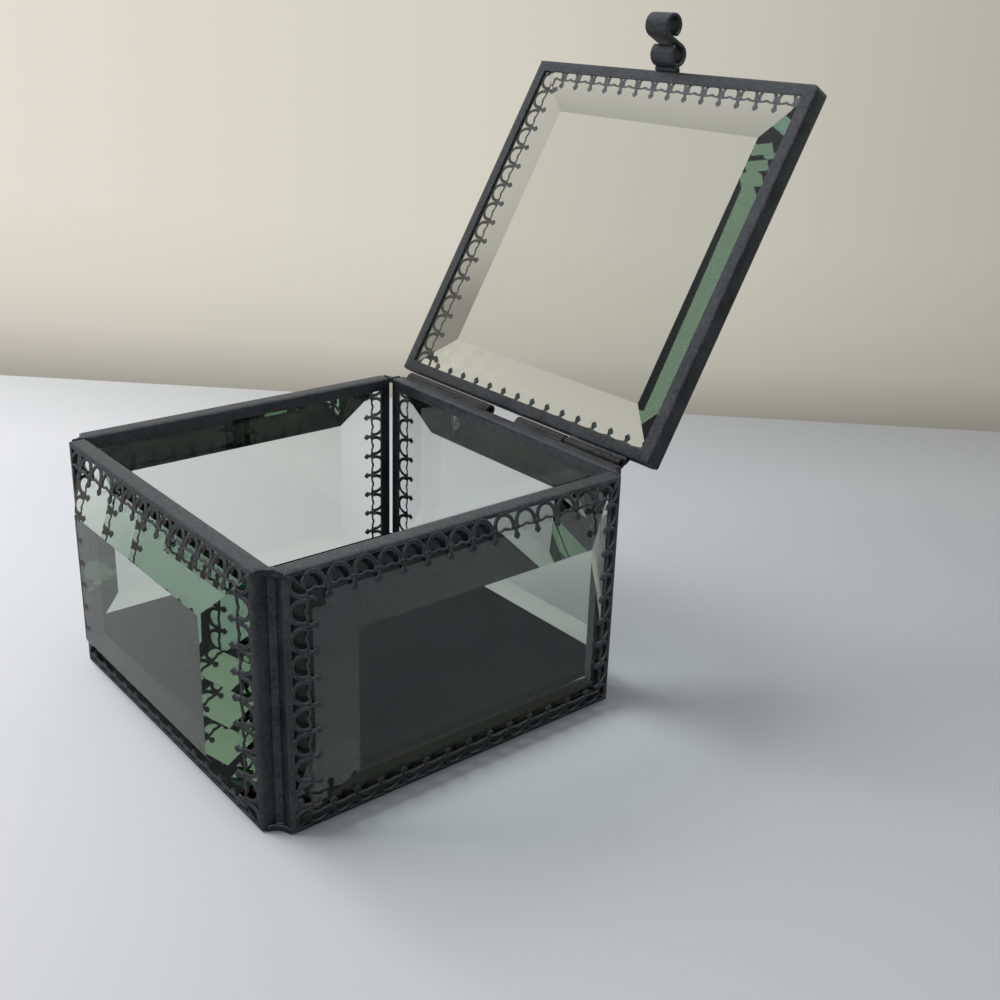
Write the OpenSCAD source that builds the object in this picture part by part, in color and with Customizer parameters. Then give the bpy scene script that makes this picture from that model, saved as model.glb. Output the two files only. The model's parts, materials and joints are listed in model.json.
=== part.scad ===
// Bevelled glass casket box with filigree-edged metal channels and a hinged lid.
// Millimetres, +Z up. The origin is the middle of the underside, on the surface the box stands on.
// The front faces -Y and the hinge runs along X at the top of the back wall.

/* [Body] */
// Width of the body along X, over the channels
body_w = 100; // [80:1:160]
// Depth of the body along Y, over the channels
body_d = 100.5; // [80:0.5:160]
// Height of the body to the top of its rim
body_h = 61; // [46:1:110]
// Slit left between two walls at each inner corner
corner_gap = 0.2; // [0.1:0.05:1.2]

/* [Lid] */
// Width of the lid along X, over its channels
lid_w = 101; // [84:1:168]
// Depth of the lid from its back channel to its front channel
lid_d = 100.5; // [84:0.5:164]
// How far the lid sits to the right of the body's middle
lid_shift = -0.3; // [-1:0.1:2]
// Gap between the rim and the closed lid
lid_gap = 0.3; // [0.2:0.05:1]
// Angle at which the lid stands open
lid_open = 120; // [90:1:125]

/* [Glass] */
// Thickness of a wall plate inside its bevels
glass_t = 9; // [4:0.5:12]
// Thickness of the lid plate inside its bevels
lid_glass_t = 6; // [4:0.5:12]
// Thickness of a plate at its ground edge
glass_edge_t = 1.6; // [1:0.1:3]
// Width of a bevel, from the edge of the plate
bevel_w = 13; // [8:0.5:18]
// Gap between the edge of the plate and the web of its channel
glass_gap = 0.3; // [0.1:0.05:0.6]

/* [Channel] */
// Width of the web of a wall's channel, which is the depth of a wall's edge
channel_w = 4.1; // [3.6:0.1:7]
// Width of the web of the lid's channels
lid_channel_w = 5.1; // [3.6:0.1:8]
// Thickness of the channel's strip
strip_t = 0.5; // [0.3:0.05:0.8]
// Width of the plain flange on the inner face
flange_w = 3.3; // [2:0.1:5]
// Size of the small chamfer along the folded edge
fold_r = 0.2; // [0.05:0.05:0.4]

/* [Filigree] */
// Distance from one tooth to the next
lace_pitch = 6.1; // [5:0.1:9]
// Angle at which the pierced flange leans away from the plate
lace_flare = 18; // [5:1:30]
// Width of the solid strip along the fold
lace_root_w = 0.9; // [0.6:0.05:1.4]
// Distance from the fold to the middle of a ring
ring_v = 3.7; // [3.4:0.1:4]
// Radius of a ring's opening
ring_r = 2.05; // [1.6:0.05:2.4]
// Width of the metal round a ring's opening
ring_wall = 1; // [0.6:0.05:1.2]
// Distance from the fold to the far side of the bar that joins the rings
bar_v = 5.1; // [4.9:0.1:6]
// Width of that bar
bar_w = 0.7; // [0.5:0.05:0.9]
// Depth of the dip in the bar between two teeth
bar_dip = 0.4; // [0.1:0.05:0.6]
// Width of that dip
dip_w = 1.5; // [1:0.1:2.5]
// Distance from the fold to the tip of a tooth
tooth_v = 7.3; // [6.5:0.1:9]
// Width of a tooth's stem
stem_w = 0.95; // [0.5:0.05:1.2]
// Width of a tooth's arrow head
head_w = 1.95; // [1.2:0.05:2.4]
// Length of a tooth's arrow head
head_l = 1.8; // [1.2:0.1:2.2]

/* [Base] */
// Thickness of the base panel
base_t = 3; // [1.5:0.5:5]
// Thickness of the velvet pad on the base panel
lining_t = 9; // [0.5:0.5:12]

/* [Hinge] */
// Outside diameter of the two tubes on the rim
tube_d = 3; // [2.4:0.1:4]
// How much smaller the tube on the lid is than those on the rim
tube_step = 0.4; // [0.2:0.1:0.8]
// Diameter of the hinge pin
pin_d = 1.4; // [1:0.1:1.6]
// Radial gap between the pin and its tubes
pin_gap = 0.05; // [0.02:0.01:0.1]
// Gap between the rim and its tubes, filled by the solder seam
seam_gap = 0.3; // [0.2:0.05:0.8]
// Depth of the hinge axis below the top of the rim
hinge_drop = 0.5; // [0.3:0.1:1]
// Gap between the back of the lid and the tubes on the rim
lid_back_gap = 0.45; // [0.35:0.05:1]
// Distance from the middle of the back wall to the far end of the left tube
left_tube_x = 44; // [42:0.5:46]
// Length of the left tube
left_tube_l = 37; // [20:0.5:40]
// Distance from the middle of the back wall to the near end of the right tube
right_tube_x = 5; // [2:0.5:8]
// Length of the right tube
right_tube_l = 18.3; // [12:0.1:20]
// Length of the tube on the lid
lid_tube_l = 20; // [10:0.5:22]
// End gap between two neighbouring tubes
tube_end_gap = 0.3; // [0.2:0.05:0.6]
// Distance from each end of the pin to the end of its tube
pin_inset = 1.5; // [0.5:0.1:3]

/* [Scroll] */
// Width of the strip that the lifting scroll is bent from
scroll_w = 7.7; // [4:0.1:12]
// Thickness of that strip
scroll_t = 0.9; // [0.5:0.1:1.5]
// Outside radius of the curl next to the lid
low_curl_r = 3.1; // [2.5:0.1:5]
// Gap between the first curl and the lid's front, filled by the solder
curl_standoff = 0.8; // [0.6:0.1:1.5]
// Outside radius of the free curl
high_curl_r = 3.2; // [2.5:0.1:5]
// Gap between the two curls
curl_gap = 1.6; // [0.5:0.1:3]
// How far the middle of the first curl hangs below the lid
low_curl_drop = 1.4; // [0.5:0.1:2.4]
// Angle at which the scroll leans down from the lid
scroll_lean = 49; // [20:1:60]
// Sweep of each curl
curl_sweep = 300; // [200:5:320]

/* [Solder] */
// Thickness of the solder caps in the corners
cap_t = 1.4; // [0.8:0.1:3]
// Depth of the hollow in the outer edge of a cap
cap_hollow = 1.25; // [0.6:0.05:1.5]
// How far the seam in the front right corner reaches out of its slit
seam_leg = 1.2; // [0.6:0.1:2]
// Radius of the solder bead on the corners of the lid
bead_r = 0.4; // [0.3:0.05:0.8]
// Height of the solder fillet under the scroll
scroll_fillet = 2; // [1:0.1:2.5]

/* [Hidden] */
WALLS = ["front", "right", "back", "left"];
EDGES = ["bottom", "right", "top", "left"];
LID_EDGES = ["front", "right", "back", "left"];

$fn = 64;
eps = 0.01;
inner_w = body_w - 2 * channel_w;
inner_d = body_d - 2 * channel_w;
pewter = "dimgray";
glass_tint = [0.62, 0.72, 0.66, 0.4];
solder_grey = "gray";

// Length of each wall's frame and the distance of its inner face from the middle
function wall_len(k) = (k % 2 == 0 ? inner_w : inner_d) - 2 * corner_gap;
function wall_off(k) = (k % 2 == 0 ? inner_d : inner_w) / 2;

// ---- bevelled plate: x and y are centred, the flat face is at z = 0
module bevelled_plate(w, h, t) {
    intersection() {
        rotate([90, 0, 0])
            linear_extrude(h, center = true) bevel_profile(w, t);
        rotate([90, 0, 90])
            linear_extrude(w, center = true) bevel_profile(h, t);
    }
}

module bevel_profile(w, t) {
    polygon([
        [-w / 2, 0], [w / 2, 0], [w / 2, glass_edge_t], [w / 2 - bevel_w, t],
        [-w / 2 + bevel_w, t], [-w / 2, glass_edge_t]
    ]);
}

// ---- filigree: x runs along the fold, y away from it
tooth_half = stem_w / 2;
ring_out = ring_r + ring_wall;
root_v = max(lace_root_w, ring_v - ring_out + 0.2);
dip_r = (pow(dip_w / 2, 2) + pow(bar_dip, 2)) / (2 * bar_dip);
dip_v = bar_v - bar_dip + dip_r;

module lace_tooth() {
    translate([-tooth_half, bar_v - bar_w])
        square([stem_w, tooth_v - head_l / 2 - bar_v + bar_w]);
    translate([0, tooth_v])
        polygon([[0, 0], [head_w / 2, -head_l / 2], [0, -head_l], [-head_w / 2, -head_l / 2]]);
}

// The opening is round towards the fold, and follows the bar and its dip on the other side
module ring_opening() {
    difference() {
        translate([0, ring_v]) circle(ring_r);
        translate([-ring_r, bar_v - bar_w]) square(2 * ring_r);
        translate([0, dip_v]) circle(dip_r + bar_w);
    }
}

// The three-sided opening between the fold and two neighbouring rings
module spandrel() {
    difference() {
        translate([-lace_pitch / 2, root_v])
            square([lace_pitch, ring_v - ring_wall - root_v]);
        for (s = [-1, 1])
            translate([s * lace_pitch / 2, ring_v]) circle(ring_out);
    }
}

module lace_pattern(len) {
    n = ceil(len / lace_pitch / 2);
    difference() {
        translate([-len / 2, 0]) square([len, bar_v]);
        for (i = [-n : n]) {
            translate([i * lace_pitch, 0]) spandrel();
            translate([(i + 0.5) * lace_pitch, 0]) ring_opening();
            translate([(i + 0.5) * lace_pitch, dip_v]) circle(dip_r);
        }
    }
    for (i = [-n : n]) translate([i * lace_pitch, 0]) lace_tooth();
}

// ---- channel with one pierced flange: x runs along the edge, y towards the middle of
// the plate and z outwards, from the inner face of the plain flange
module channel_section(web_w) {
    polygon([
        [flange_w, 0], [fold_r, 0], [0, fold_r], [0, web_w], [strip_t, web_w],
        [strip_t, strip_t], [flange_w, strip_t]
    ]);
}

module channel(len, web_w) {
    reach = tooth_v + strip_t;
    intersection() {
        union() {
            rotate([90, 0, 90])
                linear_extrude(len, center = true) channel_section(web_w);
            translate([0, 0, web_w]) rotate([lace_flare, 0, 0])
                translate([0, 0, -strip_t]) linear_extrude(strip_t) lace_pattern(len);
        }
        translate([0, 0, -eps]) linear_extrude(web_w + reach)
            polygon([
                [-len / 2 - eps, -eps], [len / 2 + eps, -eps],
                [len / 2 - reach, reach], [-len / 2 + reach, reach]
            ]);
    }
}

// Puts a channel on edge s of a w by h frame: 0 bottom, 1 right, 2 top, 3 left
module on_edge(s, w, h) {
    rotate([0, 0, 90 * s]) translate([0, -(s % 2 == 0 ? h : w) / 2, 0]) children();
}

function edge_len(s, w, h) = s % 2 == 0 ? w : h;

// ---- walls: x along the wall, y up, z outwards
module on_wall(k) {
    rotate([0, 0, 90 * k]) translate([0, -wall_off(k), body_h / 2]) rotate([90, 0, 0]) children();
}

module wall_glass(k) {
    edge = strip_t + glass_gap;
    color(glass_tint) on_wall(k) translate([0, 0, strip_t])
        bevelled_plate(wall_len(k) - 2 * edge, body_h - 2 * edge, glass_t);
}

module wall_channel(k, s) {
    color(pewter) on_wall(k) on_edge(s, wall_len(k), body_h)
        channel(edge_len(s, wall_len(k), body_h), channel_w);
}

// ---- lid: modelled closed, then turned about the hinge axis
hinge_y = body_d / 2 + seam_gap + tube_d / 2;
hinge_z = body_h - hinge_drop;
lid_setback = tube_d / 2 + lid_back_gap;
lid_back = hinge_y - lid_setback;
lid_z = body_h + lid_gap;

module opened() {
    translate([0, hinge_y, hinge_z]) rotate([-lid_open, 0, 0])
        translate([0, -hinge_y, -hinge_z]) children();
}

module on_lid() {
    opened() translate([lid_shift, lid_back - lid_d / 2, lid_z]) children();
}

module lid_glass() {
    edge = strip_t + glass_gap;
    color(glass_tint) on_lid() translate([0, 0, strip_t])
        bevelled_plate(lid_w - 2 * edge, lid_d - 2 * edge, lid_glass_t);
}

module lid_channel(s) {
    color(pewter) on_lid() on_edge(s, lid_w, lid_d)
        channel(edge_len(s, lid_w, lid_d), lid_channel_w);
}

// ---- base
module base_panel() {
    color("black") translate([0, 0, base_t / 2]) cube([inner_w, inner_d, base_t], center = true);
}

module base_lining() {
    color("black") translate([0, 0, base_t + lining_t / 2])
        cube([inner_w, inner_d, lining_t], center = true);
}

// ---- solder
// The cap fills the notch between two walls: the inner corner is at the origin
// and the walls run away from it along -x and +y
cap_half = (channel_w + corner_gap) / sqrt(2);
cap_r = (pow(cap_half, 2) + pow(cap_hollow, 2)) / (2 * cap_hollow);
cap_centre = (channel_w - corner_gap) / 2 + (cap_r - cap_hollow) / sqrt(2);

module cap_plan() {
    difference() {
        polygon([
            [-corner_gap, -channel_w], [-corner_gap, 0], [0, 0], [0, corner_gap],
            [channel_w, corner_gap]
        ]);
        translate([cap_centre, -cap_centre]) circle(cap_r);
    }
}

module seam_plan() {
    polygon([
        [-corner_gap, -seam_leg], [-corner_gap, 0], [0, 0], [0, corner_gap], [seam_leg, corner_gap]
    ]);
}

// Every corner has a cap at the top and the bottom. The front right one, k = 0, is also
// soldered down its whole slit
module corner_solder(k) {
    color(solder_grey) rotate([0, 0, 90 * k]) translate([wall_off(k + 1), -wall_off(k), 0]) {
        for (z = [0, body_h - cap_t])
            translate([0, 0, z]) linear_extrude(cap_t) cap_plan();
        if (k == 0) linear_extrude(body_h) seam_plan();
    }
}

// A bead of solder round each outside corner of the lid's frame
module lid_corner_solder() {
    color(solder_grey) on_lid() linear_extrude(lid_channel_w) difference() {
        for (sx = [-1, 1], sy = [-1, 1])
            translate([sx * lid_w / 2, sy * lid_d / 2]) circle(bead_r);
        square([lid_w, lid_d], center = true);
    }
}

// ---- hinge: sections are drawn about the hinge axis, x to the back and y up
module along_x(from, len) {
    translate([from, hinge_y, hinge_z]) rotate([90, 0, 90]) linear_extrude(len) children();
}

module tube_section(d) {
    difference() {
        circle(d = d);
        circle(d = pin_d + 2 * pin_gap);
    }
}

module hinge_left_tube() {
    color(pewter) along_x(-left_tube_x, left_tube_l) tube_section(tube_d);
}

module hinge_right_tube() {
    color(pewter) along_x(right_tube_x, right_tube_l) tube_section(tube_d);
}

// The seam fills the groove between the fold of the rim and a tube
module seam_section() {
    fold = [body_d / 2 - hinge_y, hinge_drop];
    difference() {
        polygon([
            fold, fold + strip_t * [sin(lace_flare), -cos(lace_flare)], [0, 0],
            0.45 * tube_d * [-cos(30), sin(30)]
        ]);
        circle(d = tube_d);
    }
}

module hinge_tube_solder() {
    color(solder_grey) {
        along_x(-left_tube_x, left_tube_l) seam_section();
        along_x(right_tube_x, right_tube_l) seam_section();
    }
}

lid_tube_d = tube_d - tube_step;
lid_tube_x = right_tube_x + right_tube_l + tube_end_gap;

module lid_hinge_tube() {
    color(pewter) opened() along_x(lid_tube_x, lid_tube_l) tube_section(lid_tube_d);
}

// The seam joins the tube to the lower part of the lid's back channel
module lid_hinge_solder() {
    low = hinge_drop + lid_gap;
    color(solder_grey) opened() along_x(lid_tube_x, lid_tube_l) difference() {
        polygon([
            [-lid_setback, low], [-lid_setback, low + lid_channel_w / 3], [0, lid_tube_d / 2],
            [0, 0], [-lid_tube_d / 2, low * 0.8]
        ]);
        circle(d = lid_tube_d);
    }
}

module hinge_pin() {
    from = right_tube_x + pin_inset;
    to = lid_tube_x + lid_tube_l - pin_inset;
    color(pewter) along_x(from, to - from) circle(d = pin_d);
}

// ---- lifting scroll: an S drawn across the front of the lid, x forwards and y up
low_r = low_curl_r - scroll_t / 2;
high_r = high_curl_r - scroll_t / 2;
curl_spacing = low_curl_r + high_curl_r + curl_gap;
low_curl_at = [low_curl_r + curl_standoff, -low_curl_drop];
high_curl_at = low_curl_at + curl_spacing * [cos(scroll_lean), -sin(scroll_lean)];
link_turn = acos((low_r + high_r) / curl_spacing) - scroll_lean;
link_l = sqrt(pow(curl_spacing, 2) - pow(low_r + high_r, 2));

module across_lid_front() {
    on_lid() translate([0, -lid_d / 2, 0]) rotate([90, 0, -90]) children();
}

module curl(r) {
    rotate_extrude(angle = curl_sweep)
        translate([r - scroll_t / 2, -scroll_w / 2]) square([scroll_t, scroll_w]);
}

module lid_scroll() {
    color(pewter) across_lid_front() union() {
        translate(low_curl_at) rotate([0, 0, link_turn]) {
            curl(low_r);
            translate([low_r - scroll_t / 2, -link_l - eps, -scroll_w / 2])
                cube([scroll_t, link_l + 2 * eps, scroll_w]);
        }
        translate(high_curl_at) rotate([0, 0, link_turn + 180]) curl(high_r);
    }
}

module scroll_solder() {
    color(solder_grey) across_lid_front() linear_extrude(scroll_w, center = true)
        difference() {
            polygon([[0, 0], [0, scroll_fillet], low_curl_at]);
            translate(low_curl_at) circle(low_curl_r);
        }
}

// ---- one line for each part
for (k = [0 : 3])
    wall_glass(k);
for (k = [0 : 3], s = [0 : 3])
    wall_channel(k, s);
lid_glass();
for (s = [0 : 3])
    lid_channel(s);
base_panel();
base_lining();
corner_solder(0);  // front_right_corner_solder
corner_solder(1);  // back_right_corner_solder
corner_solder(2);  // back_left_corner_solder
corner_solder(3);  // front_left_corner_solder
lid_corner_solder();
hinge_left_tube();
hinge_right_tube();
hinge_tube_solder();
hinge_pin();
lid_hinge_tube();
lid_hinge_solder();
lid_scroll();
scroll_solder();
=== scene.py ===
"""Looks for a bevelled glass casket box: pierced metal channels, solder, velvet lining and
lifting scroll.

Lengths are written in millimetres and turned to metres by MM. The origin is the middle of the
underside, +Z is up, the front faces -Y and the hinge runs along X at the top of the back wall.
"""

import json
import math

import bmesh
import bpy
from mathutils import Matrix, Vector, noise


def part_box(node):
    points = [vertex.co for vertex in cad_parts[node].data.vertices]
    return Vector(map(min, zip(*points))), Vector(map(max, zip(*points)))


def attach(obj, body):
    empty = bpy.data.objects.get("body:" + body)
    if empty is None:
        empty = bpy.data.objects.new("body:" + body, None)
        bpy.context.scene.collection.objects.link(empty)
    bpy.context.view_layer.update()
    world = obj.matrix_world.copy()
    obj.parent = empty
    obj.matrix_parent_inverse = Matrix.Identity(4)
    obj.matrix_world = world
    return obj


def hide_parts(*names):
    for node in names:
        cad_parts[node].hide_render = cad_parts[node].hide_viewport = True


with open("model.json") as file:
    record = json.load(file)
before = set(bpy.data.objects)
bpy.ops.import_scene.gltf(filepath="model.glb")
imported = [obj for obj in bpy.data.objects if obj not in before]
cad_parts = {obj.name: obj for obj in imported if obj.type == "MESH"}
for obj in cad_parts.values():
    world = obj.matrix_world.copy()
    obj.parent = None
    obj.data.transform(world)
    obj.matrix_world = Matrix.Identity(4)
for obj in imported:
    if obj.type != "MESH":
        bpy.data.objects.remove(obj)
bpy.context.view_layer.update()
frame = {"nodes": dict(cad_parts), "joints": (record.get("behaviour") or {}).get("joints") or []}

MM = 0.001
# In millimetres: points closer than TINY are one point, and a difference below NEAR is none
TINY = 0.001
NEAR = 0.01

# ---------------------------------------------------------------- sizes
# Walls are numbered from 0 round the box, and edges from 0 round a frame: even walls face the
# front and back, and even edges run along the frame's width
WALLS = ("front", "right", "back", "left")
WALL_EDGES = ("bottom", "right", "top", "left")

# Folded strip: CHANNEL_W is its web on the walls and LID_CHANNEL_W its web on the lid
CHANNEL_W = 4.1
LID_CHANNEL_W = 5.1
STRIP_T = 0.5
FLANGE_W = 3.3
FOLD_R = 0.45
FOLD_STEPS = 4
WALL_CORNER_R = 1.0
LID_CORNER_R = 1.6
CORNER_STEPS = 4

# Filigree: a V is a distance from its fold, and a SOFT is the width of a softened edge
LACE_PITCH = 6.1
LACE_FLARE = math.radians(18)
LACE_ROOT_W = 0.9
LACE_ROOT_LAP = 0.1
RING_V = 3.7
RING_R = 2.05
RING_OUT = 3.05
RING_STEPS = 14
BAR_V = 5.1
BAR_W = 0.7
BAR_END = 0.97
BAR_MIDWAY = 0.80
BAR_DIP = 0.4
DIP_W = 1.5
DIP_TURNS = (-40, -20, 0, 20, 40)  # in degrees
# Distances from the fold along a tooth, each with its half width: the tooth grows out of the
# bar, narrows and ends in a pointed leaf
TOOTH = ((4.2, 0.9), (4.95, 0.75), (5.25, 0.5), (5.55, 0.47), (5.95, 0.66), (6.4, 0.97),
         (6.8, 0.7), (7.3, 0.08))
EDGE_SOFT = 0.14
SEAM_SOFT = 0.02
TOOTH_SOFT = 0.16
TOOTH_SOFT_SHARE = 0.7

# Open lid, measured from the hinge's axis
LID_D = 100.5
LID_OPEN = math.radians(120)
LID_SETBACK = 1.95
LID_SHIFT = -0.3
LID_GAP = 0.3
HINGE_DROP = 0.5

# Lifting scroll: outer radius of the curl at the lid and of the free curl
SCROLL_W = 7.7
SCROLL_T = 0.9
LOW_CURL_R = 3.1
HIGH_CURL_R = 3.2
CURL_GAP = 1.6
CURL_STANDOFF = 0.8
LOW_CURL_DROP = 1.4
SCROLL_LEAN = math.radians(49)
CURL_SWEEP = math.radians(300)
CURL_STEPS = 26
SCROLL_SOFT = 0.18

# Frozen solder: the size of its lumps, how far it stands proud of the lid's outline, and the
# places in the noise that the seams read, so that no two are alike
SOLDER_VOXEL = 0.2
SOLDER_LUMP = 1.6
SOLDER_PROUD = 0.1
SEED_STEP = 7.0
LID_SEED = 50.0
LID_CORNER_SEED = 71.0
BOX_SOLDER = ("front_right_corner_solder", "back_right_corner_solder",
              "back_left_corner_solder", "front_left_corner_solder", "hinge_tube_solder")
LID_SOLDER = ("lid_hinge_solder", "scroll_solder")
TUBES = ("hinge_left_tube", "hinge_right_tube", "lid_hinge_tube", "hinge_pin")

# Slabs in the bottom of the box: edges longer than LONG_EDGE are divided
LONG_EDGE = 20
PAD_WAVE = 9.0

# Camera: azimuth, elevation and roll in degrees
CAMERA_AT = Vector((243.3, -154.9, 167.0))
CAMERA_TURN = (50.178, 20.792, 1.755)
SENSOR_W = 36
LENS = 45.04
LENS_SHIFT = (0.00634, -0.03192)

# Room: two points of the table's far edge, the lamp's place, size and power in watts, the soft
# light all round, and the surfaces that a ray may meet on its way through the panes
TABLE_EDGE = (Vector((-313.2, 18.5, 0)), Vector((-5.1, 329.5, 0)))
TABLE_PAST = 1500
TABLE_NEAR = 3000
WINDOW_AT = Vector((-680, -430, 850))
WINDOW_SIZE = (800, 600)
WINDOW_W = 13.5
FILL = 0.42
GLASS_BOUNCES = 32


def extent(node, axis):
    """Size of a CAD node along an axis, in millimetres."""
    low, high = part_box(node)
    return (high[axis] - low[axis]) / MM


# Taken from the solids
BODY_H = extent("front_wall_right_channel", 2)
WALL_W = extent("front_wall_top_channel", 0)
WALL_D = extent("right_wall_top_channel", 1)
LID_W = extent("lid_front_channel", 0)


def linked(name, data):
    """A new object in the scene."""
    thing = bpy.data.objects.new(name, data)
    bpy.context.scene.collection.objects.link(thing)
    return thing


# ---------------------------------------------------------------- camera
def aim_camera():
    """A phone camera held at the front right of the box, looking down on it."""
    azimuth, elevation, roll = map(math.radians, CAMERA_TURN)
    forward = Vector((-math.sin(azimuth) * math.cos(elevation),
                      math.cos(azimuth) * math.cos(elevation),
                      -math.sin(elevation)))
    level_right = Vector((math.cos(azimuth), math.sin(azimuth), 0))
    level_up = level_right.cross(forward)
    right = math.cos(roll) * level_right + math.sin(roll) * level_up
    up = math.cos(roll) * level_up - math.sin(roll) * level_right
    data = bpy.data.cameras.new("camera")
    data.sensor_width = SENSOR_W
    data.lens = LENS
    data.shift_x, data.shift_y = LENS_SHIFT
    data.clip_start = 0.01
    camera = linked("camera", data)
    turn = Matrix((right, up, -forward)).transposed().to_4x4()
    camera.matrix_world = Matrix.Translation(CAMERA_AT * MM) @ turn
    bpy.context.scene.camera = camera


# ---------------------------------------------------------------- materials
def linear(hex_colour):
    """sRGB hex to linear RGBA."""
    channels = [int(hex_colour[i:i + 2], 16) / 255 for i in (1, 3, 5)]
    return [c / 12.92 if c <= 0.04045 else ((c + 0.055) / 1.055) ** 2.4 for c in channels] + [1.0]


def add(tree, kind, inputs=None, stops=(), **settings):
    """Adds a node with its settings and links, and with the stops of position and hex colour
    where it is a ramp. An input is a value, an output, or a node, for that node's first output."""
    node = tree.nodes.new(kind)
    for name, value in settings.items():
        setattr(node, name, value)
    for key, value in (inputs or {}).items():
        if isinstance(value, bpy.types.Node):
            value = value.outputs[0]
        if isinstance(value, bpy.types.NodeSocket):
            tree.links.new(value, node.inputs[key])
        else:
            node.inputs[key].default_value = value
    if stops:
        elements = node.color_ramp.elements
        while len(elements) < len(stops):
            elements.new(0.5)
        for element, (position, colour) in zip(elements, stops):
            element.position = position
            element.color = linear(colour)
    return node


def new_material(name):
    """An empty material and its tree."""
    material = bpy.data.materials.new(name)
    material.use_nodes = True
    tree = material.node_tree
    tree.nodes.clear()
    return material, tree


def per_mm(size):
    """Noise scale for features this many millimetres across, on coordinates in metres."""
    return 1 / (size * MM)


def patinated_metal(name, dark, mid, worn, lump, wear=1.0, roughness=(0.38, 0.62)):
    """Brass or solder with a chemical black patina: mottled in patches of 7 mm, satin, and
    rubbed paler along its folds."""
    material, tree = new_material(name)
    place = add(tree, "ShaderNodeTexCoord").outputs["Object"]
    patches = add(tree, "ShaderNodeTexNoise",
                  {"Vector": place, "Scale": per_mm(7.0), "Detail": 5.0})
    # The pits are finer in the metal, and are drawn 0.9 mm across so that they show
    grain = add(tree, "ShaderNodeTexNoise",
                {"Vector": place, "Scale": per_mm(0.9), "Detail": 4.0})
    both = add(tree, "ShaderNodeMath", {0: patches, 1: grain}, operation="ADD")
    mottle = add(tree, "ShaderNodeMath", {0: both, 1: 0.5}, operation="MULTIPLY")
    base = add(tree, "ShaderNodeValToRGB", {"Fac": mottle}, stops=[(0.36, dark), (0.62, mid)])
    # A fold is where the normal of a rounded surface and the true one part
    rounded = add(tree, "ShaderNodeBevel", {"Radius": 0.22 * MM}, samples=4)
    flat = add(tree, "ShaderNodeNewGeometry").outputs["Normal"]
    alike = add(tree, "ShaderNodeVectorMath", {0: rounded, 1: flat}, operation="DOT_PRODUCT")
    fold = add(tree, "ShaderNodeMapRange",
               {"Value": alike.outputs["Value"], "From Min": 0.995, "From Max": 0.90,
                "To Min": 0.0, "To Max": wear})
    rubbed = add(tree, "ShaderNodeMath", {0: fold, 1: grain}, operation="MULTIPLY")
    colour = add(tree, "ShaderNodeMix", {0: rubbed, 6: base, 7: linear(worn)}, data_type="RGBA")
    rough = add(tree, "ShaderNodeMapRange",
                {"Value": patches, "From Min": 0.3, "From Max": 0.7,
                 "To Min": roughness[0], "To Max": roughness[1]})
    bump = add(tree, "ShaderNodeBump",
               {"Height": grain, "Strength": lump, "Distance": 0.08 * MM, "Normal": rounded})
    shader = add(tree, "ShaderNodeBsdfPrincipled",
                 {"Base Color": colour.outputs[2], "Metallic": 0.9, "Roughness": rough,
                  "Normal": bump})
    add(tree, "ShaderNodeOutputMaterial", {"Surface": shader})
    return material


def float_glass(name):
    """Clear float glass with polished bevels: mirror smooth, with a green cast that deepens with
    the length of a ray's path, so that the bevels and edges look green and the panes clear."""
    material, tree = new_material(name)
    pane = add(tree, "ShaderNodeBsdfPrincipled",
               {"Base Color": linear("#f8f8f7"), "Roughness": 0.0, "IOR": 1.52,
                "Transmission Weight": 1.0})
    # Soft light and shadows pass straight through
    clear = add(tree, "ShaderNodeBsdfTransparent", {"Color": linear("#fafcfb")})
    path = add(tree, "ShaderNodeLightPath").outputs
    soft = add(tree, "ShaderNodeMath", {0: path["Is Shadow Ray"], 1: path["Is Diffuse Ray"]},
               operation="MAXIMUM")
    both = add(tree, "ShaderNodeMixShader", {"Fac": soft, 1: pane, 2: clear})
    cast = add(tree, "ShaderNodeVolumeAbsorption", {"Color": linear("#9fc2ae"), "Density": 26.0})
    add(tree, "ShaderNodeOutputMaterial", {"Surface": both, "Volume": cast})
    return material


def velvet(name):
    """Short-pile black velvet: near black, matt, with a faint sheen where it is seen edge on."""
    material, tree = new_material(name)
    place = add(tree, "ShaderNodeTexCoord").outputs["Object"]
    # Real pile is finer, and is drawn 0.5 mm across so that it shows
    pile = add(tree, "ShaderNodeTexNoise",
               {"Vector": place, "Scale": per_mm(0.5), "Detail": 3.0})
    nap = add(tree, "ShaderNodeTexNoise",
              {"Vector": place, "Scale": per_mm(14.0), "Detail": 3.0})
    colour = add(tree, "ShaderNodeValToRGB", {"Fac": nap},
                 stops=[(0.35, "#08090a"), (0.65, "#111314")])
    bump = add(tree, "ShaderNodeBump", {"Height": pile, "Strength": 0.3, "Distance": 0.15 * MM})
    shader = add(tree, "ShaderNodeBsdfPrincipled",
                 {"Base Color": colour, "Roughness": 0.95, "Sheen Weight": 0.02,
                  "Sheen Roughness": 0.5, "Normal": bump, "Specular IOR Level": 0.1})
    add(tree, "ShaderNodeOutputMaterial", {"Surface": shader})
    return material


def black_board(name):
    """Grey board covered in black paper: dull charcoal with a fibre of about a millimetre."""
    material, tree = new_material(name)
    place = add(tree, "ShaderNodeTexCoord").outputs["Object"]
    fibre = add(tree, "ShaderNodeTexNoise",
                {"Vector": place, "Scale": per_mm(1.2), "Detail": 6.0})
    colour = add(tree, "ShaderNodeValToRGB", {"Fac": fibre},
                 stops=[(0.4, "#151617"), (0.6, "#202224")])
    bump = add(tree, "ShaderNodeBump", {"Height": fibre, "Strength": 0.2, "Distance": 0.05 * MM})
    shader = add(tree, "ShaderNodeBsdfPrincipled",
                 {"Base Color": colour, "Roughness": 0.8, "Normal": bump})
    add(tree, "ShaderNodeOutputMaterial", {"Surface": shader})
    return material


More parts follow.
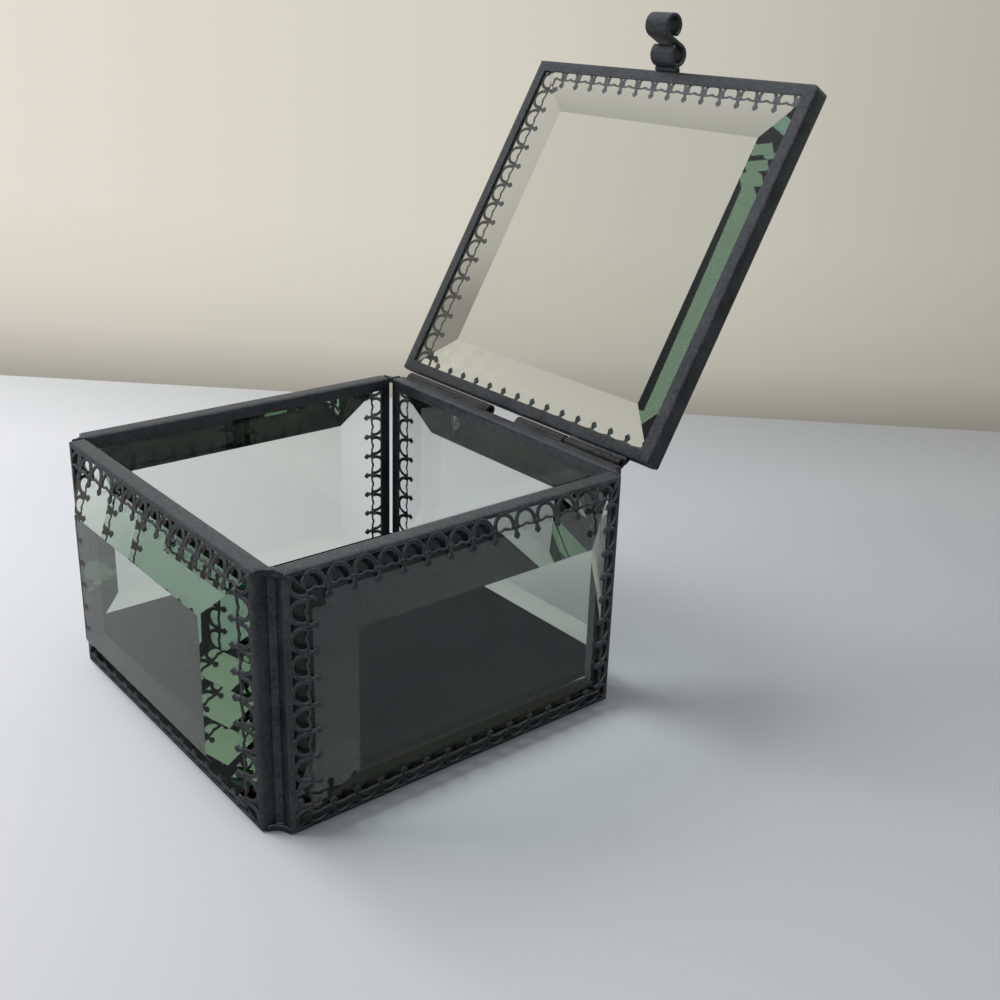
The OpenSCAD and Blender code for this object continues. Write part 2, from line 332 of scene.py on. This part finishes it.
def pale_tabletop(name):
    """Painted table top: matt white and faintly clouded, with painted shade: greyer away from the
    window and towards the wall."""
    material, tree = new_material(name)
    place = add(tree, "ShaderNodeTexCoord").outputs["Object"]
    cloud = add(tree, "ShaderNodeTexNoise",
                {"Vector": place, "Scale": per_mm(180.0), "Detail": 2.0})
    paint = add(tree, "ShaderNodeValToRGB", {"Fac": cloud},
                stops=[(0.3, "#f4f5f7"), (0.7, "#fbfbfc")])
    # Painted shade: the table greys away from the window, where the lamp's light falls off
    across = add(tree, "ShaderNodeVectorMath", {0: place, 1: (0.64, 0.768, 0.0)},
                 operation="DOT_PRODUCT")
    away = add(tree, "ShaderNodeMapRange",
               {"Value": across.outputs["Value"], "From Min": -0.25, "From Max": 0.35})
    window_falloff_shade = add(tree, "ShaderNodeValToRGB", {"Fac": away},
               stops=[(0.0, "#f6f6f8"), (0.42, "#d8d8da"), (1.0, "#b8b8b8")])
    # Painted shade: the table is greyer towards the wall
    back = add(tree, "ShaderNodeVectorMath", {0: place, 1: (-0.711, 0.703, 0.0)},
               operation="DOT_PRODUCT")
    near_wall = add(tree, "ShaderNodeMapRange",
                    {"Value": back.outputs["Value"], "From Min": 0.05, "From Max": 0.236})
    shade = add(tree, "ShaderNodeValToRGB", {"Fac": near_wall},
                stops=[(0.0, "#ffffff"), (0.6, "#f3f3f1"), (1.0, "#dcdcd9")])
    window_shaded = add(tree, "ShaderNodeMix", {0: 1.0, 6: paint, 7: window_falloff_shade},
                data_type="RGBA", blend_type="MULTIPLY")
    shaded = add(tree, "ShaderNodeMix", {0: 1.0, 6: window_shaded.outputs[2], 7: shade},
                 data_type="RGBA", blend_type="MULTIPLY")
    # Painted shade in reflections: mirrored in glass and metal, it is darker than it is seen
    # through them
    path = add(tree, "ShaderNodeLightPath").outputs
    mirrored = add(tree, "ShaderNodeMath",
                   {0: path["Is Glossy Ray"], 1: path["Is Transmission Ray"]},
                   operation="SUBTRACT", use_clamp=True)
    dimmed = add(tree, "ShaderNodeMix", {0: 1.0, 6: shaded.outputs[2], 7: linear("#a0a0a0")},
                 data_type="RGBA", blend_type="MULTIPLY")
    colour = add(tree, "ShaderNodeMix",
                 {0: mirrored, 6: shaded.outputs[2], 7: dimmed.outputs[2]}, data_type="RGBA")
    shader = add(tree, "ShaderNodeBsdfPrincipled",
                 {"Base Color": colour.outputs[2], "Roughness": 0.6, "Specular IOR Level": 0.2})
    add(tree, "ShaderNodeOutputMaterial", {"Surface": shader})
    return material


# ---------------------------------------------------------------- mesh helpers
def plain_mesh(name, bm):
    """A mesh from a bmesh, which is freed."""
    mesh = bpy.data.meshes.new(name)
    bm.to_mesh(mesh)
    bm.free()
    return mesh


def mesh_object(name, bm, material, smooth=math.radians(35)):
    """A finished object at the origin from a bmesh in millimetres."""
    bmesh.ops.scale(bm, vec=(MM, MM, MM), verts=bm.verts)
    mesh = plain_mesh(name, bm)
    mesh.materials.append(material)
    mesh.shade_smooth()
    mesh.set_sharp_from_angle(angle=smooth)
    return linked(name, mesh)


def applied(host):
    """A bmesh of an object with its modifiers applied. The object is removed."""
    graph = bpy.context.evaluated_depsgraph_get()
    mesh = bpy.data.meshes.new_from_object(host.evaluated_get(graph))
    bpy.data.objects.remove(host)
    bm = bmesh.new()
    bm.from_mesh(mesh)
    bpy.data.meshes.remove(mesh)
    return bm


def loft(bm, sections, closed=False):
    """Skins a list of equal loops of points; an open loft is capped at both ends."""
    rings = [[bm.verts.new(point) for point in section] for section in sections]
    pairs = list(zip(rings, rings[1:])) + ([(rings[-1], rings[0])] if closed else [])
    for a, b in pairs:
        for i in range(len(a)):
            j = (i + 1) % len(a)
            bm.faces.new((a[i], a[j], b[j], b[i]))
    if not closed:
        bm.faces.new(list(reversed(rings[0])))
        bm.faces.new(rings[-1])


def sides_of(line):
    """Each point of a line with the unit vector to its right."""
    for i, point in enumerate(line):
        step = (line[min(i + 1, len(line) - 1)] - line[max(i - 1, 0)]).normalized()
        yield point, Vector((step.y, -step.x))


def join(target, source, matrix):
    """Adds a bmesh, moved by a matrix, to another, and frees it."""
    source.transform(matrix)
    mesh = plain_mesh("copy", source)
    target.from_mesh(mesh)
    bpy.data.meshes.remove(mesh)


# ---------------------------------------------------------------- folded channel
def round_corner(before, corner, after):
    """Points on an arc of the fold's radius that rounds one corner of a line."""
    a = (before - corner).normalized()
    b = (after - corner).normalized()
    half_angle = a.angle(b) / 2
    centre = corner + (a + b).normalized() * (FOLD_R / math.sin(half_angle))
    start = corner + a * (FOLD_R / math.tan(half_angle)) - centre
    end = corner + b * (FOLD_R / math.tan(half_angle)) - centre
    sweep = start.angle_signed(end)
    return [centre + Matrix.Rotation(-sweep * i / FOLD_STEPS, 2) @ start
            for i in range(FOLD_STEPS + 1)]


def channel_profile(web_w):
    """Outline of the folded strip: y towards the middle of the plate, z outwards. Plain flange,
    web, then the root of the pierced flange, with both folds rounded."""
    half = STRIP_T / 2
    lean = Vector((math.cos(LACE_FLARE), math.sin(LACE_FLARE)))
    along_web = half * (1 - math.sin(LACE_FLARE)) / math.cos(LACE_FLARE)
    top = Vector((half, web_w - half * math.cos(LACE_FLARE) + along_web * math.sin(LACE_FLARE)))
    corners = [Vector((FLANGE_W, half)), Vector((half, half)), top,
               top + lean * (LACE_ROOT_W + LACE_ROOT_LAP)]
    line = [corners[0]]
    for before, corner, after in zip(corners, corners[1:], corners[2:]):
        line += round_corner(before, corner, after)
    line.append(corners[-1])
    outer = [point - side * half for point, side in sides_of(line)]
    inner = [point + side * half for point, side in sides_of(line)]
    return outer + list(reversed(inner))


def channel_bar(length, web_w, corner_r):
    """One mitred length of folded strip, centred along x, without its piercing. It has extra
    sections where the frame's corners are rounded."""
    bm = bmesh.new()
    profile = channel_profile(web_w)
    sections = []
    for i in range(CORNER_STEPS + 1):
        step = corner_r * i / CORNER_STEPS
        sections.append([(y - length / 2 if y > step else step - length / 2, y, z)
                         for y, z in profile])
    mirrored = [[(-x, y, z) for x, y, z in section] for section in reversed(sections)]
    loft(bm, sections + mirrored)
    bmesh.ops.remove_doubles(bm, verts=bm.verts, dist=TINY)
    bmesh.ops.recalc_face_normals(bm, faces=bm.faces)
    return bm


def round_off(point, width, height, radius):
    """Pushes a point of a frame that lies flat into a rounded rectangle."""
    corner = Vector((width / 2 - radius, height / 2 - radius))
    out = Vector((abs(point.x) - corner.x, abs(point.y) - corner.y))
    if min(out) <= 0 or out.length <= radius:
        return point
    out = corner + out.normalized() * radius
    return Vector((math.copysign(out.x, point.x), math.copysign(out.y, point.y), point.z))


# ---------------------------------------------------------------- filigree
def ring_sections():
    """Inner and outer edge of the metal round one opening, as pairs of points about the opening's
    middle: x along the fold, y away from it. The opening is round at the fold and follows the bar
    and its dip on the far side."""
    half = LACE_PITCH / 2
    middle = Vector((0, RING_V))
    bar_in = BAR_V - BAR_W
    shoulder = math.asin((bar_in - RING_V) / RING_R)
    ring = []
    for i in range(RING_STEPS + 1):
        turn = shoulder - (math.pi + 2 * shoulder) * i / RING_STEPS
        ray = Vector((math.cos(turn), math.sin(turn)))
        reach = min(RING_OUT, half / max(abs(ray.x), TINY))
        ring.append((middle + ray * RING_R, middle + ray * reach))
    shoulder_x = RING_R * math.cos(shoulder)
    bar = [(Vector((BAR_END * shoulder_x, bar_in)), Vector((half, BAR_V))),
           (Vector((BAR_MIDWAY * shoulder_x, bar_in)), Vector((BAR_MIDWAY * half, BAR_V)))]
    mirrored = [(Vector((-a.x, a.y)), Vector((-b.x, b.y))) for a, b in bar]
    dip_r = ((DIP_W / 2) ** 2 + BAR_DIP ** 2) / (2 * BAR_DIP)
    centre = Vector((0, BAR_V - BAR_DIP + dip_r))
    dip = []
    for turn in map(math.radians, DIP_TURNS):
        ray = Vector((math.sin(turn), -math.cos(turn)))
        dip.append((centre + ray * (dip_r + BAR_W), centre + ray * dip_r))
    return ring + mirrored + dip + list(reversed(bar))


def rounded_section(a, b, soft_a, soft_b):
    """Six points round a flat strip that runs from a to b, with softened edges."""
    half = STRIP_T / 2
    across = (b - a).normalized()
    near, far = a + across * soft_a, b - across * soft_b
    return [(*a, 0), (*near, half), (*far, half), (*b, 0), (*far, -half), (*near, -half)]


def lace_motif():
    """One repeat of the filigree, flat: the metal round an opening, and a tooth. x runs along the
    fold and y away from it. Where repeats meet, the edge is left nearly square."""
    half = LACE_PITCH / 2
    middle = Vector((half, 0))
    ring = []
    for a, b in ring_sections():
        seam = abs(abs(b.x) - half) < NEAR
        ring.append(rounded_section(middle + a, middle + b, EDGE_SOFT,
                                    SEAM_SOFT if seam else EDGE_SOFT))
    tooth = []
    for v, half_w in TOOTH:
        soft = min(TOOTH_SOFT, TOOTH_SOFT_SHARE * half_w)
        tooth.append(rounded_section(Vector((-half_w, v)), Vector((half_w, v)), soft, soft))
    bm = bmesh.new()
    loft(bm, ring, closed=True)
    loft(bm, tooth)
    bmesh.ops.recalc_face_normals(bm, faces=bm.faces)
    return bm


def repeat_tree(material):
    """Geometry Nodes: repeats the input mesh along x, centred, then makes it real and gives it
    its material."""
    tree = bpy.data.node_groups.new("filigree_repeat", "GeometryNodeTree")
    for name, kind in (("Motif", "Geometry"), ("Pitch", "Float"), ("Count", "Int")):
        tree.interface.new_socket(name, in_out="INPUT", socket_type="NodeSocket" + kind)
    tree.interface.new_socket("Strip", in_out="OUTPUT", socket_type="NodeSocketGeometry")
    given = add(tree, "NodeGroupInput").outputs
    step = add(tree, "ShaderNodeCombineXYZ", {"X": given["Pitch"]})
    gaps = add(tree, "ShaderNodeMath", {0: given["Count"], 1: 1.0}, operation="SUBTRACT")
    start = add(tree, "ShaderNodeMath", {0: gaps, 1: -0.5}, operation="MULTIPLY")
    first = add(tree, "ShaderNodeVectorMath", {0: step, "Scale": start}, operation="SCALE")
    line = add(tree, "GeometryNodeMeshLine",
               {"Count": given["Count"], "Start Location": first, "Offset": step})
    copies = add(tree, "GeometryNodeInstanceOnPoints",
                 {"Points": line, "Instance": given["Motif"]})
    real = add(tree, "GeometryNodeRealizeInstances", {"Geometry": copies})
    named = add(tree, "GeometryNodeSetMaterial", {"Geometry": real, "Material": material})
    add(tree, "NodeGroupOutput", {0: named})
    return tree


def lace_strip(tree, length, web_w):
    """The filigree of one length of channel, leaning out from its fold and cut to the mitres."""
    host = linked("lace_strip", plain_mesh("lace_motif", lace_motif()))
    modifier = host.modifiers.new("repeat", "NODES")
    modifier.node_group = tree
    sockets = {item.name: item.identifier for item in tree.interface.items_tree}
    modifier[sockets["Pitch"]] = LACE_PITCH
    modifier[sockets["Count"]] = 2 * math.ceil(length / LACE_PITCH / 2) + 1
    bm = applied(host)
    cos, sin = math.cos(LACE_FLARE), math.sin(LACE_FLARE)
    half = STRIP_T / 2
    bm.transform(Matrix(((1, 0, 0, 0), (0, cos, -sin, half * sin),
                         (0, sin, cos, web_w - half * cos), (0, 0, 0, 1))))
    for side in (-1, 1):
        bmesh.ops.bisect_plane(bm, geom=bm.verts[:] + bm.edges[:] + bm.faces[:],
                               plane_co=(side * length / 2, 0, 0), plane_no=(side, 1, 0),
                               clear_outer=True)
    bmesh.ops.holes_fill(bm, edges=[e for e in bm.edges if e.is_boundary])
    return bm


# ---------------------------------------------------------------- frames of channel
def turned(degrees, axis):
    """A turn about an axis, as a 4 by 4 matrix."""
    return Matrix.Rotation(math.radians(degrees), 4, axis)


def edge_matrix(side, width, height):
    """From one length of channel to its edge of a width by height frame: 0 bottom, 1 right,
    2 top, 3 left."""
    reach = (height if side % 2 == 0 else width) / 2
    return turned(90 * side, "Z") @ Matrix.Translation((0, -reach, 0))


def wall_matrix(wall):
    """From a frame lying flat, outside up, to wall number `wall` of the box."""
    offset = extent("base_lining", 1 if wall % 2 == 0 else 0) / 2
    return (turned(90 * wall, "Z") @ Matrix.Translation((0, -offset, BODY_H / 2))
            @ turned(90, "X"))


def lid_matrix():
    """From the closed lid's frame, lying flat with its outside up, to the open lid."""
    hinge = Vector(frame["joints"][0]["pos_m"]) / MM
    centre = Vector((LID_SHIFT, hinge.y - LID_SETBACK - LID_D / 2, hinge.z + HINGE_DROP + LID_GAP))
    there = Vector((0, hinge.y, hinge.z))
    return (Matrix.Translation(there) @ Matrix.Rotation(-LID_OPEN, 4, "X")
            @ Matrix.Translation(-there) @ Matrix.Translation(centre))


OPEN_LID = lid_matrix()


def channel_frame(name, width, height, web_w, corner_r, matrix, tree, material, nodes, body):
    """Four mitred lengths of channel round one plate of glass, as one piece with softened
    corners."""
    bm = bmesh.new()
    for side in range(4):
        length = width if side % 2 == 0 else height
        place = edge_matrix(side, width, height)
        join(bm, channel_bar(length, web_w, corner_r), place)
        join(bm, lace_strip(tree, length, web_w), place)
    for vert in bm.verts:
        vert.co = matrix @ round_off(vert.co, width, height, corner_r)
    piece = mesh_object(name, bm, material)
    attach(piece, body)
    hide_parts(*nodes)


# ---------------------------------------------------------------- solder
def lumpy_solder(node, body, material, seed, swell=0.12, wobble=0.18, shape=None):
    """Solder that has run and frozen: the CAD seam, rounded over and uneven. `shape` moves each
    point, in millimetres, to its last place."""
    bm = bmesh.new()
    bm.from_mesh(frame["nodes"][node].data)
    bmesh.ops.remove_doubles(bm, verts=bm.verts, dist=TINY * MM)
    host = linked(node + "_run", plain_mesh(node, bm))
    remesh = host.modifiers.new("remesh", "REMESH")
    remesh.mode = "VOXEL"
    remesh.voxel_size = SOLDER_VOXEL * MM
    host.modifiers.new("smooth", "SMOOTH").iterations = 3
    bm = applied(host)
    bm.normal_update()
    for vert in bm.verts:
        lump = noise.noise(vert.co / (SOLDER_LUMP * MM) + Vector((seed, 0, 0)))
        vert.co += vert.normal * MM * (swell + wobble * lump)
        if shape:
            vert.co = shape(vert.co / MM) * MM
    bmesh.ops.scale(bm, vec=(1 / MM, 1 / MM, 1 / MM), verts=bm.verts)
    piece = mesh_object(node + "_run", bm, material, smooth=math.radians(80))
    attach(piece, body)
    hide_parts(node)


def inside_lid(point):
    """A point of the solder on the open lid's corners, kept to the frame's rounded outline."""
    flat = OPEN_LID.inverted() @ point
    return OPEN_LID @ round_off(flat, LID_W + SOLDER_PROUD, LID_D + SOLDER_PROUD, LID_CORNER_R)


# ---------------------------------------------------------------- scroll
def scroll_path():
    """Middle line of the S in the plane across the lid's front: x forwards, y up, when the lid is
    closed."""
    low_r, high_r = LOW_CURL_R - SCROLL_T / 2, HIGH_CURL_R - SCROLL_T / 2
    spacing = LOW_CURL_R + HIGH_CURL_R + CURL_GAP
    low = Vector((LOW_CURL_R + CURL_STANDOFF, -LOW_CURL_DROP))
    high = low + spacing * Vector((math.cos(SCROLL_LEAN), -math.sin(SCROLL_LEAN)))
    turn = math.acos((low_r + high_r) / spacing) - SCROLL_LEAN

    def arc(centre, radius, start, end):
        turns = (start + (end - start) * i / CURL_STEPS for i in range(CURL_STEPS + 1))
        return [centre + radius * Vector((math.cos(a), math.sin(a))) for a in turns]

    return (arc(low, low_r, turn + CURL_SWEEP, turn)
            + arc(high, high_r, turn + math.pi, turn + math.pi + CURL_SWEEP))


def make_scroll(material):
    """The bent strip at the lid's front, with softened edges."""
    bm = bmesh.new()
    half_t, half_w, soft = SCROLL_T / 2, SCROLL_W / 2, SCROLL_SOFT
    outline = [(half_t, half_w - soft), (half_t - soft, half_w),
               (soft - half_t, half_w), (-half_t, half_w - soft),
               (-half_t, soft - half_w), (soft - half_t, -half_w),
               (half_t - soft, -half_w), (half_t, soft - half_w)]
    loft(bm, [[(point.x + side.x * t, point.y + side.y * t, w) for t, w in outline]
              for point, side in sides_of(scroll_path())])
    bmesh.ops.recalc_face_normals(bm, faces=bm.faces)
    front = Matrix.Translation((0, -LID_D / 2, 0)) @ turned(-90, "Z") @ turned(90, "X")
    bm.transform(OPEN_LID @ front)
    piece = mesh_object("bent_scroll", bm, material)
    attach(piece, "lid")
    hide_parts("lid_scroll")


# ---------------------------------------------------------------- base
def soft_slab(name, node, material, round_r, cells, ripple=0.0):
    """A slab the size of a CAD node with rounded edges and a slightly uneven top."""
    low, high = (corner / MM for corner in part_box(node))
    bm = bmesh.new()
    bmesh.ops.create_cube(bm, size=1, matrix=Matrix.Translation((low + high) / 2)
                          @ Matrix.Diagonal((*(high - low), 1)))
    bmesh.ops.bevel(bm, geom=bm.edges[:], offset=round_r, segments=3, affect="EDGES",
                    profile=0.5)
    bmesh.ops.subdivide_edges(bm, edges=[e for e in bm.edges if e.calc_length() > LONG_EDGE],
                              cuts=cells, use_grid_fill=True)
    for vert in bm.verts:
        if vert.co.z > high.z - NEAR:
            vert.co.z += ripple * noise.noise(vert.co / PAD_WAVE) - ripple
    bmesh.ops.recalc_face_normals(bm, faces=bm.faces)
    piece = mesh_object(name, bm, material, smooth=math.radians(60))
    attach(piece, "box")
    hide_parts(node)


# ---------------------------------------------------------------- stage
def make_table():
    """Pale table top whose far edge runs behind the box."""
    left, right = TABLE_EDGE
    along = (right - left).normalized()
    near = Vector((along.y, -along.x, 0)) * TABLE_NEAR
    left, right = left - along * TABLE_PAST, right + along * TABLE_PAST
    bm = bmesh.new()
    bm.faces.new([bm.verts.new(corner) for corner in (left, left + near, right + near, right)])
    table = mesh_object("tabletop", bm, pale_tabletop("painted_tabletop"))


def make_room():
    """The room: a warm wall, with painted light and shade, where the camera and clear glass look,
    a dim room with a pale ceiling where metal and glass mirror it, and soft light for all the rest."""
    world = bpy.data.worlds.new("room")
    bpy.context.scene.world = world
    world.use_nodes = True
    tree = world.node_tree
    tree.nodes.clear()
    heading = add(tree, "ShaderNodeTexCoord").outputs["Generated"]

    # Painted light and shade on the wall: it is lighter near the window and darker just above the
    # table
    across = add(tree, "ShaderNodeVectorMath", {0: heading, 1: (0.647, 0.762, 0.0)},
                 operation="DOT_PRODUCT")
    away = add(tree, "ShaderNodeMapRange",
               {"Value": across.outputs["Value"], "From Min": -0.45, "From Max": 0.5})
    # The wall's own warm paint, with painted light that falls off away from the window
    paint = add(tree, "ShaderNodeValToRGB", {"Fac": away},
                stops=[(0.0, "#e5e0d5"), (0.5, "#d0cdc1"), (1.0, "#a5a299")])
    # Painted shade: the wall darkens just above the table
    above_table = add(tree, "ShaderNodeVectorMath", {0: heading, 1: (-0.2133, 0.2209, 0.9517)},
                      operation="DOT_PRODUCT")
    low_down = add(tree, "ShaderNodeMapRange",
                   {"Value": above_table.outputs["Value"], "From Min": -0.01, "From Max": 0.13})
    shade_above_table = add(tree, "ShaderNodeValToRGB", {"Fac": low_down},
               stops=[(0.0, "#b0b0ae"), (0.17, "#d0d0ce"), (0.35, "#eaeae9"), (0.6, "#f7f7f6"),
                      (1.0, "#ffffff")])
    wall = add(tree, "ShaderNodeMix", {0: 1.0, 6: paint, 7: shade_above_table},
               data_type="RGBA", blend_type="MULTIPLY")

    # The room that is mirrored is dark towards the viewer, and pale at the wall and overhead
    to_wall = add(tree, "ShaderNodeVectorMath", {0: heading, 1: (-0.762, 0.647, 0.0)},
                  operation="DOT_PRODUCT")
    depth = add(tree, "ShaderNodeMapRange",
                {"Value": to_wall.outputs["Value"], "From Min": -0.6, "From Max": 0.6})
    sides = add(tree, "ShaderNodeValToRGB", {"Fac": depth},
                stops=[(0.0, "#2e3032"), (0.6, "#4b4c4a"), (0.82, "#d8d5cb")])
    upward = add(tree, "ShaderNodeSeparateXYZ", {0: heading}).outputs["Z"]
    overhead = add(tree, "ShaderNodeMapRange", {"Value": upward, "From Min": 0.3, "From Max": 0.65})
    behind = add(tree, "ShaderNodeMix", {0: overhead, 6: sides, 7: linear("#e2e4e8")},
                 data_type="RGBA")

    seen = add(tree, "ShaderNodeBackground", {"Color": wall.outputs[2], "Strength": 1.0})
    mirrored = add(tree, "ShaderNodeBackground", {"Color": behind.outputs[2], "Strength": 1.0})
    fill = add(tree, "ShaderNodeBackground", {"Color": linear("#e9ebee"), "Strength": FILL})
    path = add(tree, "ShaderNodeLightPath").outputs
    direct = add(tree, "ShaderNodeMath",
                 {0: path["Is Camera Ray"], 1: path["Is Transmission Ray"]}, operation="MAXIMUM")
    unseen = add(tree, "ShaderNodeMixShader", {"Fac": path["Is Glossy Ray"], 1: fill, 2: mirrored})
    whole = add(tree, "ShaderNodeMixShader", {"Fac": direct, 1: unseen, 2: seen})
    add(tree, "ShaderNodeOutputWorld", {"Surface": whole})


def make_window():
    """Soft daylight from the left. The lamp itself isn't mirrored."""
    data = bpy.data.lights.new("window", "AREA")
    data.shape = "RECTANGLE"
    data.size, data.size_y = (side * MM for side in WINDOW_SIZE)
    data.energy = WINDOW_W
    data.color = linear("#fdfcfb")[:3]
    lamp = linked("window", data)
    lamp.visible_glossy = False
    lamp.visible_transmission = False
    lamp.location = WINDOW_AT * MM
    lamp.rotation_euler = (-lamp.location).to_track_quat("-Z", "Y").to_euler()


# ---------------------------------------------------------------- build
def coat(nodes, material):
    """Gives CAD nodes their material."""
    for node in nodes:
        slots = frame["nodes"][node].data.materials
        slots.clear()
        slots.append(material)


aim_camera()
channel_metal = patinated_metal("patinated_brass_strip", "#505355", "#6e7173", "#b9bcbe",
                                lump=0.25, wear=0.9)
tube_metal = patinated_metal("patinated_tube", "#333332", "#5e5d5a", "#a5a39e", lump=0.6)
solder_metal = patinated_metal("patinated_solder", "#3f4143", "#686a6b", "#c0c1c0",
                               lump=0.5, roughness=(0.3, 0.5))

repeat = repeat_tree(channel_metal)
for number, wall in enumerate(WALLS):
    channel_frame(wall + "_frame", WALL_W if number % 2 == 0 else WALL_D, BODY_H, CHANNEL_W,
                  WALL_CORNER_R, wall_matrix(number), repeat, channel_metal,
                  [f"{wall}_wall_{edge}_channel" for edge in WALL_EDGES], "box")
channel_frame("lid_frame", LID_W, LID_D, LID_CHANNEL_W, LID_CORNER_R, OPEN_LID, repeat,
              channel_metal, [f"lid_{edge}_channel" for edge in WALLS], "lid")

for number, node in enumerate(BOX_SOLDER):
    lumpy_solder(node, "box", solder_metal, seed=SEED_STEP * number)
for number, node in enumerate(LID_SOLDER):
    lumpy_solder(node, "lid", solder_metal, seed=LID_SEED + SEED_STEP * number)
lumpy_solder("lid_corner_solder", "lid", solder_metal, seed=LID_CORNER_SEED, swell=0.05,
             wobble=0.1, shape=inside_lid)

make_scroll(channel_metal)
soft_slab("velvet_pad", "base_lining", velvet("black_velvet"), round_r=0.7, cells=40,
          ripple=0.15)
soft_slab("base_board", "base_panel", black_board("black_paper_board"),
          round_r=0.3, cells=4)

coat(TUBES, tube_metal)
coat([wall + "_glass" for wall in WALLS] + ["lid_glass"], float_glass("bevelled_float_glass"))

make_table()
make_room()
make_window()
cycles = bpy.context.scene.cycles
cycles.max_bounces = cycles.transmission_bounces = cycles.glossy_bounces = GLASS_BOUNCES
bpy.context.scene.view_settings.view_transform = "Standard"
